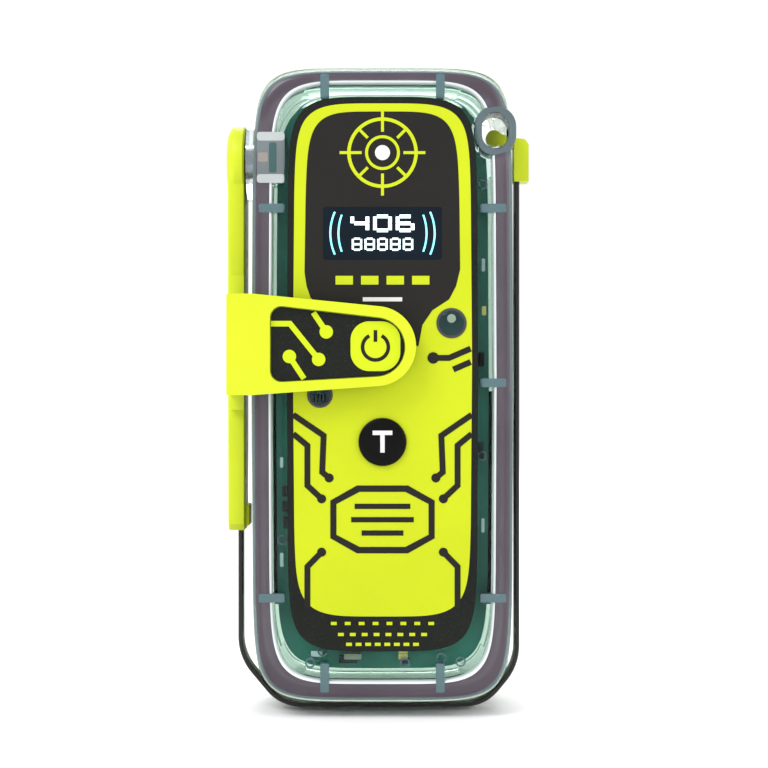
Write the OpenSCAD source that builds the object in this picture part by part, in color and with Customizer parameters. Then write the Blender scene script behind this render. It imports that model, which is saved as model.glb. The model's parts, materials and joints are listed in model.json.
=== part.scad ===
// Personal emergency position beacon: a clear two-part case with a printed front panel,
// two push buttons, a display, and a spring-blade antenna that is stowed round the case.
// +Z is up, the front panel faces -Y, and the origin is under the middle of the case.

/* [Case] */
// Overall height of the case, from its feet to its top
case_h = 115; // [112:0.5:118]
// Half width of the raised front rim
rim_a = 22.7; // [22:0.1:23]
// Half height of the raised front rim
rim_b = 54.6; // [54:0.1:55]
// Front face of the raised panel, behind the origin plane
panel_y = -16; // [-16.4:0.1:-15.8]
// Plane where the front and rear shells meet
part_y = -7.6; // [-7.8:0.1:-7.4]
// Back face of the case
back_y = 17.6; // [17:0.1:18.4]
// Depth of the sunk channel between the panel and the rim
groove_depth = 2.6; // [2.2:0.1:2.8]

/* [Antenna] */
// Height of the antenna hinge above the feet
hinge_z = 96.9; // [96:0.1:97.5]
// Depth of the antenna's own plane
antenna_y = -4.7; // [-4.9:0.1:-4.5]
// Radius of the hinge disc
disc_r = 6.7; // [6.2:0.1:6.8]
// Radius of the hinge pin
pin_r = 2.5; // [2.2:0.1:2.6]
// Thickness of the antenna blade with its sleeve
blade_t = 0.86; // [0.7:0.02:0.9]
// Width of the antenna blade, front to back
blade_w = 4.6; // [4:0.1:4.6]

/* [Controls] */
// Side of the square power button
power_side = 8.5; // [8:0.1:8.8]
// Radius of the round test button
test_r = 4.15; // [3.9:0.05:4.3]
// Inward travel of both buttons
press = 0.5; // [0.3:0.05:0.5]
// Size of the display window
display_size = [20.5, 9.1]; // [8:0.1:21]

/* [Power] */
// Radius of each lithium cell
cell_r = 8.5; // [8.3:0.05:8.5]
// Length of each lithium cell
cell_len = 34.5; // [33.5:0.1:34.5]

/* [Hidden] */
$fn = 48;
eps = 0.05;

mid_z = case_h / 2;
outline_points = 72;

// Sizes of the case's outlines: half width, half height, centre above mid height, and the
// two exponents of the rounded shape
rim_top = [rim_a - 0.5, rim_b - 0.5, 0, 5.6, 13];
rim = [rim_a, rim_b, 0, 5.6, 13];
skirt = [rim_a + 0.25, rim_b + 0.6, 0, 5.6, 13];
rim_inside = [rim_a - 3.43, rim_b - 2.9, 0.5, 5.2, 13];
panel = [rim_a - 5.5, rim_b - 6.3, 1.85, 4.6, 13];
label = [rim_a - 6.2, rim_b - 6.76, 1.9, 4.5, 13];
front_cavity = [rim_a - 2.1, rim_b - 2.1, 0, 5.4, 13];
channel = [rim_a + 0.5, rim_b + 1.4, 0, 5.6, 13];
flange = [rim_a + 0.8, mid_z - 0.3, 0, 6, 15];
back_edge = [rim_a, rim_b + 1.7, 0, 5.6, 13];
back_face = [rim_a - 1.5, rim_b, 0, 5, 12];
rear_cavity = [rim_a - 1.7, rim_b - 1, 0, 5.4, 13];
board = [rim_a - 4.1, rim_b - 5.1, 0, 5, 12];

rim_y = panel_y + 0.4;
groove_y = panel_y + groove_depth;
label_t = 0.4;
label_y = panel_y - 0.15;
panel_inside_y = panel_y + 1.8;
floor_inside_y = groove_y + 1.4;
flange_y = -2;
flange_back_y = 11;
foot_half_w = 13;
// The foot's middle is raised a little, so that the case stands on the foot's two ends
foot_edge = 9;
foot_hollow = 0.1;
board_y = panel_y + 4.6;
board_t = 1.4;
board_back_y = board_y + board_t;

// Places on the front panel, as x and height
display_at = [0, 83.7];
strobe_at = [11.9, 68.2];
infrared_at = [-10.8, 55.8];
power_at = [-1.2, 64.15];
test_at = [0, 47.7];
strobe_r = 2.6;
infrared_r = 2.2;
rib_heights = [20.7, 57.9, 88.1];
rib_x = [-10, 10];
rib_w = 1.85;
screw_at = [for (x = [-10.5, 10.5], z = [15, 104]) [x, z]];
board_screw_at = [[-15, 30], [15, 30], [-15.5, 78], [15.5, 78]];

// Lanyard eye in the upper right corner, which also holds the antenna's tip
eye_at = [19.5, 101.5];
eye_r = 2.3;
eye_rise = 0.7;
eye_wall = 1.4;
eye_back_y = 7;

// Hinge and arm
disc_out_x = -24.3;
disc_in_x = -21.5;
boss_r = 4.3;
boss_in_x = -16.6;
arm_out_x = -27.5;
arm_shaft_x = -27.2;
arm_end_z = 31.85;
arm_half_w = 5.4;
arm_end_half_w = 4.6;
blade_x = -25.2;
blade_gap = 0.25;

// Directions of the blade's stretches at rest, counted from the arm round to the tip
blade_dirs = [-90, -50, 0, 50, 90];
link_gap = 0.25;
blade_links = len(blade_dirs) - 1;
root_top_z = 56;
tip_z = [93.6, 101.3];

// Points of a rounded outline, a little barrelled, round its own centre
function outline(s, bow = 0.02) = [for (i = [0:outline_points - 1])
    let(t = 360 * i / outline_points,
        z = s[1] * sign(sin(t)) * pow(abs(sin(t)), 2 / s[4]))
    [s[0] * (1 - bow * pow(z / s[1], 2)) * sign(cos(t)) * pow(abs(cos(t)), 2 / s[3]),
     z + s[2] + mid_z]];
function grown(s, by) = [s[0] + by, s[1] + by, s[2], s[3], s[4]];

// Stretches of the blade are tangents to the case, and its joints are where they cross
function out_normal(d) = [sin(d), -cos(d)];
function tangent_distance(k) = k == 0
    ? -blade_x
    : max([for (p = outline(channel)) p * out_normal(blade_dirs[k])])
      + blade_gap + blade_t / 2;
function crossing(n1, h1, n2, h2) =
    [h1 * n2.y - h2 * n1.y, h2 * n1.x - h1 * n2.x] / (n1.x * n2.y - n1.y * n2.x);
function blade_joint(k) = crossing(
    out_normal(blade_dirs[k - 1]), tangent_distance(k - 1),
    out_normal(blade_dirs[k]), tangent_distance(k));

// A slab between two depths, drawn in the XZ plane
module slab(y0, y1) {
    translate([0, y1, 0]) rotate([90, 0, 0]) linear_extrude(y1 - y0) children();
}
module shape(s) { polygon(outline(s)); }
module rod_y(at, r, y0, y1) { slab(y0, y1) translate(at) circle(r); }
module rod_x(r, x0, x1) {
    translate([x0, antenna_y, hinge_z]) rotate([0, 90, 0]) cylinder(r = r, h = x1 - x0);
}
module block(x, y, z) {
    translate([x[0], y[0], z[0]]) cube([x[1] - x[0], y[1] - y[0], z[1] - z[0]]);
}
module eye_shape(extra) {
    translate(eye_at) {
        for (z = [-eye_rise, eye_rise]) translate([0, z]) circle(eye_r + extra);
        square([2 * (eye_r + extra), 2 * eye_rise], center = true);
    }
}
module rounded_square(side, r) {
    square([side, side - 2 * r], center = true);
    square([side - 2 * r, side], center = true);
    for (x = [-1, 1], z = [-1, 1]) translate([x, z] * (side / 2 - r)) circle(r);
}
// The way in from the side for the antenna's tip
module tip_slot() { block([19.5, 30], [-9.4, -2.6], [97.8, 103.1]); }
module hinge_cut() {
    rod_x(disc_r + 0.15, -30, disc_in_x);
    rod_x(boss_r, disc_in_x - eps, boss_in_x);
}

module front_ribs() {
    for (z = rib_heights, side = [-1, 1])
        translate([side * 18.1, 0, 0])
            block([-1.5, 1.5], [groove_y - 1.3, groove_y + 0.3],
                  [z - rib_w / 2, z + rib_w / 2]);
    for (x = rib_x) {
        block([x - rib_w / 2, x + rib_w / 2], [groove_y - 1.3, groove_y + 0.3], [106.5, 110.9]);
        block([x - rib_w / 2, x + rib_w / 2], [groove_y - 1.3, groove_y + 0.3], [5.2, 9.4]);
    }
}

module front_shell() color([0.75, 0.8, 0.82, 0.4]) difference() {
    union() {
        difference() {
            union() {
                difference() {
                    union() {
                        slab(rim_y, rim_y + 1) shape(rim_top);
                        slab(rim_y + 1, -11) shape(rim);
                        slab(-11, part_y) shape(skirt);
                    }
                    slab(rim_y - 1, groove_y) shape(rim_inside);
                    slab(floor_inside_y, part_y + 1) shape(front_cavity);
                }
                slab(panel_y, groove_y + 0.2) shape(panel);
                front_ribs();
            }
            slab(panel_inside_y, floor_inside_y + eps) shape(grown(panel, -1.4));
        }
        intersection() {
            slab(rim_y, part_y) eye_shape(eye_wall);
            slab(rim_y, part_y) shape(grown(rim, 1.2));
        }
        for (p = screw_at) rod_y(p, 2.5, panel_inside_y - 0.4, board_y - 0.1);
        for (p = board_screw_at) rod_y(p, 1.9, panel_inside_y - 0.4, board_y);
    }
    slab(panel_y - 1, panel_y + 0.25) shape(grown(label, 0.1));
    slab(panel_y - 1, board_y) translate(power_at) rounded_square(power_side + 0.5, 3.2);
    rod_y(test_at, test_r + 0.25, panel_y - 1, board_y);
    rod_y(strobe_at, strobe_r, panel_y - 1, floor_inside_y);
    rod_y(infrared_at, infrared_r, panel_y - 1, floor_inside_y);
    slab(panel_y - 1, part_y + 1) eye_shape(0);
    tip_slot();
    hinge_cut();
    slab(part_y - 0.4, part_y + 1) gasket_ring();
    for (p = screw_at) rod_y(p, 0.95, board_y - 3, board_y);
    for (p = board_screw_at) rod_y(p, 0.7, board_y - 2.4, board_y);
}

module gasket_ring() difference() {
    shape(grown(front_cavity, 1.6));
    shape(grown(front_cavity, 0.7));
    translate([-20.5, hinge_z]) square([6, 14], center = true);
    translate([21, 101.5]) square([8.5, 10], center = true);
}

module rear_outside() {
    slab(part_y, flange_y) shape(channel);
    slab(flange_y, flange_back_y) shape(flange);
    slab(flange_y, flange_back_y) polygon([
        [-foot_half_w, 0], [-foot_edge, foot_hollow], [foot_edge, foot_hollow],
        [foot_half_w, 0], [foot_half_w, 1.5], [-foot_half_w, 1.5]]);
    slab(flange_back_y, 14.6) shape(back_edge);
    slab(14.6, back_y) shape(back_face);
}

module rear_shell() color([0.78, 0.83, 0.8, 0.4]) difference() {
    union() {
        difference() {
            rear_outside();
            slab(part_y - 1, 10) shape(rear_cavity);
            slab(10 - eps, back_y - 2) shape(grown(rear_cavity, -1));
        }
        intersection() {
            rear_outside();
            union() {
                slab(part_y, eye_back_y + 1) eye_shape(eye_wall);
                rod_y(eye_at, 6.6, eye_back_y - 1.5, back_y);
            }
        }
        for (p = screw_at) rod_y(p, 3, board_back_y + 0.1, back_y - 1);
    }
    slab(part_y - 1, back_y + 1) eye_shape(0);
    rod_y(eye_at, 5.2, eye_back_y, back_y + 1);
    tip_slot();
    hinge_cut();
    slab(part_y - 1, part_y + 0.4) gasket_ring();
    for (p = screw_at) {
        rod_y(p, 1.25, board_back_y - 1, back_y);
        rod_y(p, 2.3, 8.4, back_y + 1);
    }
    slab(back_y - 0.3, back_y + 1) rear_label_shape(0.15);
}

module case_gasket() color([0.45, 0.38, 0.45]) slab(part_y - 0.35, part_y + 0.35) difference() {
    shape(grown(front_cavity, 1.5));
    shape(grown(front_cavity, 0.8));
    translate([-20.5, hinge_z]) square([6.4, 14.4], center = true);
    translate([21, 101.5]) square([8.9, 10.4], center = true);
}

module case_screws() color([0.7, 0.7, 0.72]) for (p = screw_at) difference() {
    union() {
        rod_y(p, 0.93, board_y - 2.8, 8.4 + eps);
        rod_y(p, 2.1, 8.4, 9.95);
    }
    slab(9.2, 11) translate(p) circle(0.9, $fn = 6);
}

module front_label() color([0.84, 0.9, 0.14]) difference() {
    slab(label_y, label_y + label_t) shape(label);
    slab(label_y - 1, panel_y + 1) {
        translate(power_at) rounded_square(power_side + 0.5, 3.2);
        translate(display_at) square(display_size + [0.1, 0.1], center = true);
    }
    rod_y(test_at, test_r + 0.25, label_y - 1, panel_y + 1);
    rod_y(strobe_at, strobe_r, label_y - 1, panel_y + 1);
    rod_y(infrared_at, infrared_r, label_y - 1, panel_y + 1);
}

module rear_label_shape(extra) {
    translate([0, mid_z]) square([26 + 2 * extra, 66 + 2 * extra], center = true);
}
module rear_label() color([0.84, 0.9, 0.14])
    slab(back_y - 0.3, back_y) rear_label_shape(0);

module display_window() color([0.1, 0.15, 0.2, 0.5])
    slab(label_y + 0.05, label_y + label_t)
        translate(display_at) square(display_size, center = true);

module display_module() color([0.05, 0.08, 0.12]) {
    slab(panel_inside_y + 0.25, panel_inside_y + 1) translate(display_at + [0, -0.6])
        square([24.6, 14.2], center = true);
    slab(panel_inside_y + 1, panel_inside_y + 1.4) translate(display_at + [0, -1])
        square([26, 15.4], center = true);
}

module lens(at, r) {
    rod_y(at, r - 0.03, label_y + 0.1, floor_inside_y - 0.5);
    rod_y(at, r - 0.7, label_y - 0.15, label_y + 0.15);
}
module strobe_lens() color([0.7, 0.8, 0.85, 0.4]) lens(strobe_at, strobe_r);
module infrared_lens() color([0.4, 0.6, 0.55, 0.4]) lens(infrared_at, infrared_r);

module led(at, side) {
    slab(board_y - 0.5, board_y) translate(at) square(side, center = true);
    rod_y(at, side * 0.36, board_y - 0.9, board_y - 0.5 + eps);
}
module strobe_led() color([0.9, 0.88, 0.75]) led(strobe_at, 3);
module infrared_led() color([0.35, 0.35, 0.4]) led(infrared_at, 2.4);

module power_button() color([0.85, 0.93, 0]) {
    slab(label_y - 1.15, panel_inside_y - 0.65) translate(power_at)
        rounded_square(power_side, 3);
    rod_y(power_at, 1.5, panel_inside_y - 0.7, board_y - 1.65);
}
module test_button() color([0.08, 0.08, 0.08]) {
    rod_y(test_at, test_r, label_y - 0.75, panel_inside_y - 0.65);
    rod_y(test_at, 1.5, panel_inside_y - 0.7, board_y - 1.65);
}
module button_seal(at) difference() {
    rod_y(at, 5.4, panel_inside_y, panel_inside_y + 0.6);
    rod_y(at, 1.9, panel_inside_y - 1, panel_inside_y + 1);
}
module power_seal() color([0.3, 0.3, 0.32]) button_seal(power_at);
module test_seal() color([0.3, 0.3, 0.32]) button_seal(test_at);
module tact_switch(at) {
    slab(board_y - 0.8, board_y) translate(at) square(4.2, center = true);
    rod_y(at, 1.1, board_y - 1, board_y - 0.8 + eps);
}
module power_switch() color([0.6, 0.6, 0.62]) tact_switch(power_at);
module test_switch() color([0.6, 0.6, 0.62]) tact_switch(test_at);

module main_board() color([0.12, 0.43, 0.36]) difference() {
    slab(board_y, board_back_y) shape(board);
    slab(board_y - 1, board_back_y + 1) eye_shape(eye_wall + 0.3);
    for (p = screw_at) rod_y(p, 1.4, board_y - 1, board_back_y + 1);
    for (p = board_screw_at) rod_y(p, 0.95, board_y - 1, board_back_y + 1);
}
module board_screws() color([0.7, 0.7, 0.72]) for (p = board_screw_at) {
    rod_y(p, 0.68, board_y - 2.2, board_back_y + eps);
    rod_y(p, 1.5, board_back_y, board_back_y + 1);
}
// Parts soldered on the board's two faces: sizes are width, height and thickness
front_chips = [[-6, 9.6, 3.2, 1.3, 0.5], [4, 9.3, 1.6, 0.9, 0.5], [-16.9, 39, 1.2, 1.9, 0.5],
               [-16.9, 36.4, 1.2, 1.9, 0.5], [-16.7, 33.6, 1.2, 2.2, 0.5],
               [17, 62, 1.4, 2.4, 0.6], [17, 46, 1.3, 3, 0.5], [11, 94.5, 3.6, 3.6, 0.8],
               [-9.5, 95, 5, 5, 0.9], [11, 54, 4, 4, 0.9]];
back_chips = [[0, 42, 12, 12, 1.2], [0, 58, 7, 7, 1.1], [-10, 68, 3.2, 5, 1], [9, 20, 3.4, 2.6, 1],
              [-9, 70, 2, 3.4, 0.8]];
module board_chips() color([0.15, 0.15, 0.17]) {
    for (c = front_chips) slab(board_y - c[4], board_y)
        translate([c[0], c[1]]) square([c[2], c[3]], center = true);
    for (c = back_chips) slab(board_back_y, board_back_y + c[4])
        translate([c[0], c[1]]) square([c[2], c[3]], center = true);
}
module gps_patch() color([0.8, 0.76, 0.66]) {
    slab(board_y - 2, board_y) translate([0, 34.2]) square(14.5, center = true);
    slab(board_y - 2.2, board_y - 2) translate([0, 34.2]) square(11.5, center = true);
}

radio_y = -1.4;
radio_t = 1.4;
module radio_board() color([0.1, 0.38, 0.32]) slab(radio_y, radio_y + radio_t)
    translate([0, 80.5]) square([28, 39], center = true);
module radio_shield() color([0.75, 0.76, 0.78]) slab(radio_y + radio_t, radio_y + radio_t + 3)
    translate([0, 82]) square([22, 28], center = true);
module board_connector() color([0.1, 0.1, 0.1]) {
    slab(board_back_y, radio_y) translate([0, 63.3]) square([11, 2.6], center = true);
}

cell_x = 9.1;
cell_y = 6.6;
cell_z = 20;
module cell(side) {
    translate([side * cell_x, cell_y, cell_z]) cylinder(r = cell_r, h = cell_len - 1);
    translate([side * cell_x, cell_y, cell_z + cell_len - 1 - eps])
        cylinder(r = 3.1, h = 1 + eps);
}
module battery_left() color([0.2, 0.25, 0.3]) cell(-1);
module battery_right() color([0.2, 0.25, 0.3]) cell(1);
module battery_tray() color([0.25, 0.25, 0.27]) difference() {
    block([-19.6, 19.6], [-3.4, 5], [cell_z - 1.7, cell_z + cell_len + 1.9]);
    for (side = [-1, 1]) translate([side * cell_x, cell_y, cell_z - 0.4])
        cylinder(r = cell_r + 0.1, h = cell_len + 0.8);
}
module battery_contacts() color([0.85, 0.8, 0.6]) {
    for (side = [-1, 1]) {
        block([side * cell_x - 3.5, side * cell_x + 3.5], [0.5, 12.5], [cell_z - 0.35, cell_z]);
        block([side * cell_x - 3, side * cell_x + 3], [0.5, 12],
              [cell_z + cell_len, cell_z + cell_len + 0.35]);
    }
}
module battery_pad() color([0.2, 0.2, 0.2])
    block([-15, 15], [cell_y + cell_r, back_y - 2], [cell_z + 2, cell_z + cell_len - 3]);

module hinge_boss() color([0.8, 0.86, 0.88, 0.4]) difference() {
    union() {
        rod_x(disc_r, disc_out_x + 0.3, disc_in_x);
        rod_x(boss_r - 0.05, disc_in_x - eps, boss_in_x);
    }
    rod_x(pin_r + 0.05, -30, -10);
    rod_x(pin_r + 0.95, -20.3, -19);
}
module hinge_seal() color([0.15, 0.15, 0.15]) difference() {
    rod_x(pin_r + 0.9, -20.2, -19.1);
    rod_x(pin_r + 0.08, -30, -10);
}
module hinge_pin() color([0.72, 0.74, 0.76]) difference() {
    rod_x(pin_r, arm_out_x + 0.9, -14.9);
    difference() {
        rod_x(pin_r + 1, -16.25, -15.65);
        rod_x(pin_r - 0.5, -17, -15);
    }
}
module hinge_clip() color([0.6, 0.6, 0.62]) difference() {
    rod_x(pin_r + 1, -16.2, -15.7);
    rod_x(pin_r - 0.5, -17, -15);
    block([-17, -15], [antenna_y - 1, antenna_y + 1], [hinge_z - 6, hinge_z]);
}
module antenna_contact() color([0.85, 0.7, 0.35]) {
    block([-14.7, -14.3], [antenna_y - 1.6, radio_y + radio_t], [hinge_z - 2, hinge_z + 2]);
    block([-14.3 - eps, -12.2], [radio_y - 0.4, radio_y], [hinge_z - 2, hinge_z + 2]);
}

// The arm's outline in the YZ plane, with a round end at the hinge
module arm_body(extra = 0) {
    rod_x(disc_r + extra, arm_out_x - extra, disc_out_x);
    translate([arm_shaft_x - extra, 0, 0]) rotate([90, 0, 90])
        linear_extrude(disc_out_x - arm_shaft_x + extra)
            polygon([[antenna_y - arm_half_w - extra, hinge_z],
                     [antenna_y + arm_half_w + extra, hinge_z],
                     [antenna_y + arm_end_half_w + extra, arm_end_z],
                     [antenna_y - arm_end_half_w - extra, arm_end_z]]);
}
module antenna_arm() color([0.91, 0.97, 0.2]) difference() {
    union() {
        arm_body();
        block([disc_out_x - eps, -23.5], [antenna_y - 3, antenna_y + 2.4], [32.6, 36.4]);
    }
    rod_x(pin_r, arm_out_x + 0.9, -20);
    block([blade_x - blade_t / 2, blade_x + blade_t / 2],
          [antenna_y - blade_w / 2, antenna_y + blade_w / 2], [30, root_top_z]);
}

guard_y = [-20.2, -17.9];
guard_plate_x = -26.6;
guard_z = [55.8, 73.1];
guard_end = [-1.1, 64.15];
guard_end_r = 6.82;
window_end_r = 5.1;
guard_floor_y = guard_y[1] - 1.1;
module guard_outline() hull() {
    translate(guard_end) circle(guard_end_r);
    translate([guard_plate_x, guard_z[0]]) square([5.3, guard_z[1] - guard_z[0]]);
}
module guard_window(extra = 0) hull() {
    translate([-1.2, 64]) circle(window_end_r + extra);
    translate([-17.2, 69]) circle(2 + extra);
    translate([-17.2, 60]) circle(2 + extra);
}
module button_guard() color([0.91, 0.97, 0.2]) difference() {
    union() {
        slab(guard_y[0], guard_y[1]) guard_outline();
        block([guard_plate_x, guard_plate_x + 2.4], [guard_y[0], -9], guard_z);
        block([guard_plate_x, disc_out_x], [antenna_y - 6.2, -9], [53.2, 76.8]);
    }
    slab(guard_y[0] - 1, guard_floor_y) guard_window();
    arm_body();
}
module guard_label() color([0.13, 0.14, 0.12])
    slab(guard_floor_y - 0.25, guard_floor_y) guard_window(-0.15);

module blade_stretch(p, q, cut_p, cut_q) {
    dir = (q - p) / norm(q - p);
    angle = atan2(dir.y, dir.x);
    slab(antenna_y - blade_w / 2, antenna_y + blade_w / 2)
        translate(p + dir * cut_p) rotate(angle)
            translate([0, -blade_t / 2]) square([norm(q - p) - cut_p - cut_q, blade_t]);
}
module antenna_root() color([0.1, 0.1, 0.1])
    blade_stretch([blade_x, root_top_z], blade_joint(1), 0, link_gap);
module blade_link(k) color([0.1, 0.1, 0.1])
    if (k < blade_links) blade_stretch(blade_joint(k), blade_joint(k + 1), link_gap, link_gap);
    else blade_stretch(blade_joint(k), [blade_joint(k).x, tip_z[0] + 4.5], link_gap, 0);

tip_y = [antenna_y - 2.9, antenna_y + 2.3];
tip_ball = [19.75, 101.3];
tip_ball_y = [-7.3, -4.9];
module antenna_tip() color([0.85, 0.95, 0.15]) difference() {
    union() {
        slab(tip_y[0], tip_y[1]) polygon([
            [23.3, tip_z[0]], [25.9, tip_z[0]], [25.9, tip_z[1] - 1.1],
            [25.2, tip_z[1] - 0.2], [23.3, tip_z[1]]]);
        slab(tip_ball_y[0], tip_ball_y[1]) {
            translate(tip_ball) circle(1.4);
            polygon([tip_ball + [0.2, 1], [24.4, 101.1], [24.4, 99.2], tip_ball + [-0.1, -1]]);
        }
    }
    slab(antenna_y - blade_w / 2, antenna_y + blade_w / 2)
        translate([blade_joint(blade_links).x - blade_t / 2, tip_z[0] - 1])
            square([blade_t, 5.5]);
}

front_shell();
rear_shell();
case_gasket();
case_screws();
front_label();
rear_label();
display_window();
display_module();
strobe_lens();
strobe_led();
infrared_lens();
infrared_led();
power_button();
power_seal();
power_switch();
test_button();
test_seal();
test_switch();
main_board();
board_screws();
board_chips();
gps_patch();
radio_board();
radio_shield();
board_connector();
battery_left();
battery_right();
battery_tray();
battery_contacts();
battery_pad();
hinge_boss();
hinge_seal();
hinge_pin();
hinge_clip();
antenna_contact();
antenna_arm();
button_guard();
guard_label();
antenna_root();
for (k = [1:blade_links])
    blade_link(k);
antenna_tip();
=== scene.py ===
"""Looks of the emergency position beacon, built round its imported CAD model.

Sizes are millimetres in the model's frame (+Z up, the front panel faces -Y), and are
turned into metres where a mesh is made."""

import json
from math import copysign, cos, hypot, pi, sin

import bmesh
import bpy
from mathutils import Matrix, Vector


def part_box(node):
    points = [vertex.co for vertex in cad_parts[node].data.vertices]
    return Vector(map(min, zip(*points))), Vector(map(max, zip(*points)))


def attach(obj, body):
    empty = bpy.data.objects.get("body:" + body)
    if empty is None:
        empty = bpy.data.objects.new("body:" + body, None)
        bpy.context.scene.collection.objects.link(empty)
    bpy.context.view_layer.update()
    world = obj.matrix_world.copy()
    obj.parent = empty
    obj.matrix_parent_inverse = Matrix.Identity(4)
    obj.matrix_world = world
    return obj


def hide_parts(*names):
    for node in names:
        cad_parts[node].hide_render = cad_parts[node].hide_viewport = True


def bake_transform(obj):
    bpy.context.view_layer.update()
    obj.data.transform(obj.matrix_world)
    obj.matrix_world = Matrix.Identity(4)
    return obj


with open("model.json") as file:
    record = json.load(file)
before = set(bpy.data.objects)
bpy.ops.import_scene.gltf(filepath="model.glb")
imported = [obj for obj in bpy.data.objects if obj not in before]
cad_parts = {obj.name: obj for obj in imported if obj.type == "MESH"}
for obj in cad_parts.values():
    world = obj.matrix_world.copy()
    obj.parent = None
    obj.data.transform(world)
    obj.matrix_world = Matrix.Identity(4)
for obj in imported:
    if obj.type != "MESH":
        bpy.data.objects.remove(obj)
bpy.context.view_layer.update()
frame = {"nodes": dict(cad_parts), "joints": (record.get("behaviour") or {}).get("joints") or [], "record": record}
MM = 0.001
joints = {j["name"]: j for j in frame["joints"]}


def box_mm(node):
    low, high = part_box(node)
    return low / MM, high / MM


# Case outlines: half width, half height, centre above mid height, and two exponents
MID_Z = 57.5
RIM_A, RIM_B = 22.7, 54.6
RIM = (RIM_A, RIM_B, 0, 5.6, 13)
SKIRT = (RIM_A + 0.25, RIM_B + 0.6, 0, 5.6, 13)
RIM_INSIDE = (RIM_A - 3.43, RIM_B - 2.9, 0.5, 5.2, 13)
PANEL = (RIM_A - 5.5, RIM_B - 6.3, 1.85, 4.6, 13)
LABEL = (RIM_A - 6.2, RIM_B - 6.76, 1.9, 4.5, 13)
FRONT_CAVITY = (RIM_A - 2.1, RIM_B - 2.1, 0, 5.4, 13)
CHANNEL = (RIM_A + 0.5, RIM_B + 1.4, 0, 5.6, 13)
FLANGE = (RIM_A + 0.8, MID_Z - 0.3, 0, 6, 15)
BACK_EDGE = (RIM_A, RIM_B + 1.7, 0, 5.6, 13)
BACK_FACE = (RIM_A - 1.5, RIM_B, 0, 5, 12)
REAR_CAVITY = (RIM_A - 1.7, RIM_B - 1, 0, 5.4, 13)

# Depths of the case's faces, from the front (-Y) to the back
PANEL_Y, RIM_Y, GROOVE_Y, CAVITY_Y, PART_Y = -16.0, -15.6, -13.4, -12.0, -7.6
BACK_CAVITY_Y, BACK_Y = 15.6, 17.6
LABEL_Y = box_mm("front_label")[0].y
SEAM = 0.05  # half the gap between the two shells
BEYOND_Y = 20  # a depth outside the case, where cutters end

# Lanyard eye, and the hinge that the antenna arm turns on
EYE = (19.5, 101.5)
EYE_R, EYE_RISE, EYE_RECESS_R = 2.3, 0.7, 5.2
HINGE_Y = joints["antenna_swing"]["pos_m"][1] / MM
HINGE_Z = joints["antenna_swing"]["pos_m"][2] / MM


# ---------------------------------------------------------------- shapes
def outline(spec, count=144, bow=0.02):
    a, b, lift, px, pz = spec
    points = []
    for i in range(count):
        t = 2 * pi * i / count
        z = b * copysign(abs(sin(t)) ** (2 / pz), sin(t))
        x = a * (1 - bow * (z / b) ** 2) * copysign(abs(cos(t)) ** (2 / px), cos(t))
        points.append((x, z + lift + MID_Z))
    return points


def grown(spec, by):
    return (spec[0] + by, spec[1] + by, *spec[2:])


def outer_fillet(spec, y, r, steps=5):
    """Rings that turn from an outer wall to a front face at y."""
    return [(grown(spec, -r * (1 - cos(a))), y + r * (1 - sin(a)))
            for a in (pi / 2 * i / steps for i in range(steps + 1))]


def inner_fillet(spec, y, r, steps=4):
    """Rings that turn from a front face at y down a hole's wall."""
    return [(grown(spec, r * (1 - sin(a))), y + r * (1 - cos(a)))
            for a in (pi / 2 * i / steps for i in range(steps + 1))]


def circle(at, r, count=48):
    return [(at[0] + r * cos(2 * pi * i / count), at[1] + r * sin(2 * pi * i / count))
            for i in range(count)]


def stadium(at, r, rise, count=24):
    top = [(at[0] + r * cos(pi * i / count), at[1] + rise + r * sin(pi * i / count))
           for i in range(count + 1)]
    bottom = [(at[0] - r * cos(pi * i / count), at[1] - rise - r * sin(pi * i / count))
              for i in range(count + 1)]
    return top + bottom


def rounded_box(x0, x1, z0, z1, r, count=8):
    points = []
    for cx, cz, quarter in ((x1 - r, z1 - r, 0), (x0 + r, z1 - r, 1),
                            (x0 + r, z0 + r, 2), (x1 - r, z0 + r, 3)):
        points += [(cx + r * cos(pi / 2 * (quarter + i / count)),
                    cz + r * sin(pi / 2 * (quarter + i / count))) for i in range(count + 1)]
    return points


def turn(a, b, c):
    """Above zero where the way from a through b to c turns left."""
    return (b[0] - a[0]) * (c[1] - a[1]) - (b[1] - a[1]) * (c[0] - a[0])


def hull(points):
    """Convex outline round a set of points, anticlockwise."""
    def half(ordered):
        chain = []
        for p in ordered:
            while len(chain) > 1 and turn(chain[-2], chain[-1], p) <= 0:
                chain.pop()
            chain.append(p)
        return chain[:-1]
    ordered = sorted(set(points))
    return half(ordered) + half(ordered[::-1])


def new_object(name, mesh_builder, materials, smooth=None):
    mesh = bpy.data.meshes.new(name)
    bm = bmesh.new()
    mesh_builder(bm)
    bmesh.ops.recalc_face_normals(bm, faces=bm.faces)
    bm.to_mesh(mesh)
    bm.free()
    obj = bpy.data.objects.new(name, mesh)
    bpy.context.scene.collection.objects.link(obj)
    for m in materials if isinstance(materials, (list, tuple)) else [materials]:
        mesh.materials.append(m)
    if smooth:
        shade(obj, smooth)
    return obj


def shade(obj, angle=0.6):
    obj.data.shade_smooth()
    bm = bmesh.new()
    bm.from_mesh(obj.data)
    for e in bm.edges:
        e.smooth = len(e.link_faces) == 2 and e.calc_face_angle(0) < angle
    bm.to_mesh(obj.data)
    bm.free()


def apply_modifiers(obj):
    graph = bpy.context.evaluated_depsgraph_get()
    mesh = bpy.data.meshes.new_from_object(obj.evaluated_get(graph))
    obj.modifiers.clear()
    obj.data = mesh
    return obj


def cut(obj, *cutters, operation="DIFFERENCE"):
    for c in cutters:
        m = obj.modifiers.new("cut", "BOOLEAN")
        m.operation, m.object, m.solver = operation, c, "EXACT"
    apply_modifiers(obj)
    for c in cutters:
        bpy.data.objects.remove(c)
    return obj


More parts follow.
